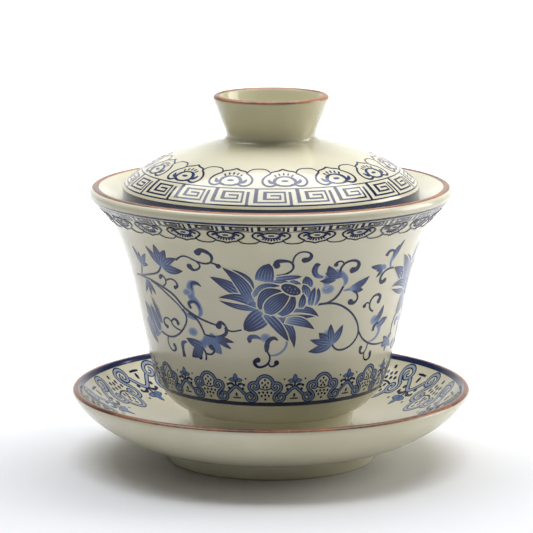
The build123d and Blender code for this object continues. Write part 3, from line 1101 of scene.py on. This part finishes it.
# %% [markdown]
# ## Glaze, cobalt and iron
# The glaze is an ivory that turns a deeper, greener ivory by height over the lid's neck and knob: partly
# where the glaze lies thick, partly painted shade that darkens the knob. Slow clouds of tone, a few iron
# specks burnt up from the clay and a very slight unevenness keep it from looking like plastic. It is
# glossy, under a thin clear coat. Cobalt shows through the same glaze, from a pale wash to nearly black.
# It looks grainy where the brush pooled and is cut by fine scratched veins.

# %% Glaze
IVORY = colour(224, 218, 194)
IVORY_DEEP = colour(203, 198, 165)
SPECK = colour(120, 92, 62)
# Heights in metres over which the glaze goes to the deeper ivory: painted shade on the neck and knob, partly
# thicker glaze.
KNOB_FOOT, KNOB_SHADE_FULL = 0.084, 0.094
COBALT_STEPS = [
    (0.00, IVORY), (0.20, colour(160, 171, 188)), (0.42, colour(102, 127, 170)), (0.62, colour(64, 82, 128)),
    (0.85, colour(38, 50, 94)), (1.00, colour(22, 32, 70)),
]


def glaze(name, painted=False):
    """Ivory glaze, with cobalt under it where a piece is painted."""
    material, shader, wire = finish_of(
        name, Roughness=0.16, Specular_IOR_Level=0.35, Coat_Weight=0.25, Coat_Roughness=0.05,
    )
    place = wire.node("ShaderNodeTexCoord", output=3)
    if painted:
        grain = wire.node("ShaderNodeTexNoise", Vector=place, Scale=900.0, Detail=3.0, Roughness=0.6)
        cobalt = wire.node("ShaderNodeAttribute", {"attribute_name": "cobalt"}, output=2)
        marks = wire.node("ShaderNodeUVMap", {"uv_map": "UVMap"})
        across = wire.node("ShaderNodeSeparateXYZ", Vector=marks)
        fade = wire.node("ShaderNodeSeparateXYZ", output=1, Vector=marks)
        scratch = wire.maths("COSINE", across * FULL_TURN, 0).span(0.45, 1.0) * fade
        pooled = cobalt * (0.86 + 0.28 * grain) - scratch * 0.55
        base = pooled.held().ramp(COBALT_STEPS)
    else:
        clouds = wire.node("ShaderNodeTexNoise", Vector=place, Scale=26.0, Detail=4.0, Roughness=0.55)
        spots = wire.node("ShaderNodeTexVoronoi", {"feature": "F1"}, Vector=place, Scale=75.0)
        spread = wire.node("ShaderNodeTexNoise", Vector=place, Scale=40.0, Detail=0.0)
        speck = spots.span(0.05, 0.07, 1, 0) * spread.span(0.60, 0.62)
        height = wire.node("ShaderNodeSeparateXYZ", output=2, Vector=place)
        # Deeper ivory in slow clouds of tone, and by height over the neck and knob as painted shade that
        # darkens them, partly thicker glaze.
        tone_and_knob_shade = (clouds.span(0.35, 0.7) * 0.6 + height.span(KNOB_FOOT, KNOB_SHADE_FULL) * 0.75).held()
        base = (speck * 0.5).blend(tone_and_knob_shade.blend(IVORY, IVORY_DEEP), SPECK)
    feed(base, shader, "Base Color")
    swell = wire.node("ShaderNodeTexNoise", Vector=place, Scale=140.0, Detail=2.0)
    bump = wire.node("ShaderNodeBump", Strength=0.05, Distance=0.0004, Height=swell)
    feed(bump, shader, "Normal")
    return material


clay_glaze = glaze("ivory_glaze")
painted_glaze = glaze("cobalt_under_glaze", painted=True)
print("glazes:", clay_glaze.name, painted_glaze.name)

# %% [markdown]
# Iron on a lip fires from dark brown to a sandy red where the brush left little, so noise of two sizes
# runs between the two colours. It is drier than the glaze, and driest where it is sandy.

# %% Iron brown
IRON_DARK, IRON_SANDY = colour(98, 57, 34), colour(168, 112, 74)
iron_brown, shader, wire = finish_of("iron_brown", Coat_Weight=0.2)
place = wire.node("ShaderNodeTexCoord", output=3)
patches = wire.node("ShaderNodeTexNoise", Vector=place, Scale=55.0, Detail=5.0, Roughness=0.6)
grain = wire.node("ShaderNodeTexNoise", Vector=place, Scale=700.0, Detail=2.0)
worn = (patches * 0.75 + grain * 0.25).span(0.38, 0.62)
feed(worn.blend(IRON_DARK, IRON_SANDY), shader, "Base Color")
feed(worn.span(0, 1, 0.3, 0.42), shader, "Roughness")
print("iron finish:", iron_brown.name, "with", len(wire.tree.nodes), "nodes")

# %% [markdown]
# ## Handing the pieces over
# Each piece gets its finish and is told which body it rides on. The three clay pieces also take the
# place of the plain CAD pieces that they were spun from, which are hidden.

# %% Glaze the pieces
painted = {
    "lid": [lid_key, lid_clouds, lid_edge_band] + lid_key_lines,
    "bowl": [bowl_key, bowl_clouds, bowl_lappets, scroll, side_lotus] + bowl_rings,
    "saucer": [saucer_lappets, saucer_band],
}
for node, piece in vessels.items():
    coats = [(piece, clay_glaze), (lip_rings[node], iron_brown)]
    coats += [(part, painted_glaze) for part in painted[node]]
    for part, material in coats:
        part.data.materials.clear()
        part.data.materials.append(material)
        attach(part, node)
        node + "_glaze"
    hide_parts(node)
print("painted pieces:", sum(len(parts) for parts in painted.values()))

# %% [markdown]
# ## The studio
# The set stands on a white sweep, a sheet of paper that lies flat and curls up behind. It is a plane
# whose far edge is extruded upwards, with the corner between rounded by a Bevel.

# %% White sweep
SWEEP_SIDE, SWEEP_RISE, SWEEP_CURL = 3.0, 2.2, 0.6
clear_selection()
bpy.ops.mesh.primitive_plane_add(size=SWEEP_SIDE, location=(0, 0, 0))
sweep = bpy.context.object
sweep.name = "studio_sweep"
bpy.ops.object.mode_set(mode="EDIT")
bpy.ops.mesh.select_all(action="DESELECT")
sheet = bmesh.from_edit_mesh(sweep.data)
for edge in sheet.edges:
    edge.select_set(all(vertex.co.y > 1 for vertex in edge.verts))
bmesh.update_edit_mesh(sweep.data)
bpy.ops.mesh.extrude_region_move(TRANSFORM_OT_translate={"value": (0, 0, SWEEP_RISE)})
bpy.ops.object.mode_set(mode="OBJECT")
curve = sweep.modifiers.new("curl", "BEVEL")
curve.width, curve.segments = SWEEP_CURL, 16
bpy.ops.object.modifier_apply(modifier=curve.name)
bpy.ops.object.shade_smooth()
sweep.data.materials.append(finish_of("white_paper", Base_Color=colour(226, 226, 226), Roughness=0.9)[0])
print("sweep:", len(sweep.data.polygons), "faces")

# %% [markdown]
# One large soft box hangs above and a little behind the set, so that the lid is bright and the wall
# falls off into a quiet shade. A second lights the right side. A third lies low over the back of the
# sweep to keep it white, and is hidden from reflections. A faint world light fills the shadows.

# %% Lights
def soft_box(name, place, aim, wide, deep, watts, warmth=(1, 1, 1)):
    """A rectangular area light that faces the point aim."""
    bpy.ops.object.light_add(type="AREA", location=place)
    light = bpy.context.object
    light.name = name
    light.rotation_euler = (Vector(aim) - Vector(place)).to_track_quat("-Z", "Y").to_euler()
    light.data.shape = "RECTANGLE"
    light.data.size, light.data.size_y = wide, deep
    light.data.energy, light.data.color = watts, warmth
    return light


soft_box("overhead_box", (-0.03, 0.13, 0.70), (-0.03, 0.13, 0), 0.92, 0.55, 8.2, (0.93, 0.95, 1.0))
soft_box("right_box", (0.64, 0.16, 0.27), (0, 0, 0.06), 0.35, 0.4, 2.4, (1.0, 0.98, 0.95))
floor_box = soft_box("floor_box", (0, 0.62, 0.66), (0, 1.25, 0), 2.2, 0.5, 15.0)
floor_box.visible_glossy = False

WORLD_LIGHT = 0.115
world = bpy.context.scene.world or bpy.data.worlds.new("studio_world")
bpy.context.scene.world = world
world.use_nodes = True
backdrop = world.node_tree.nodes["Background"].inputs
backdrop["Color"].default_value = (1, 1, 1, 1)
backdrop["Strength"].default_value = WORLD_LIGHT
bpy.context.scene.view_settings.view_transform = "Standard"
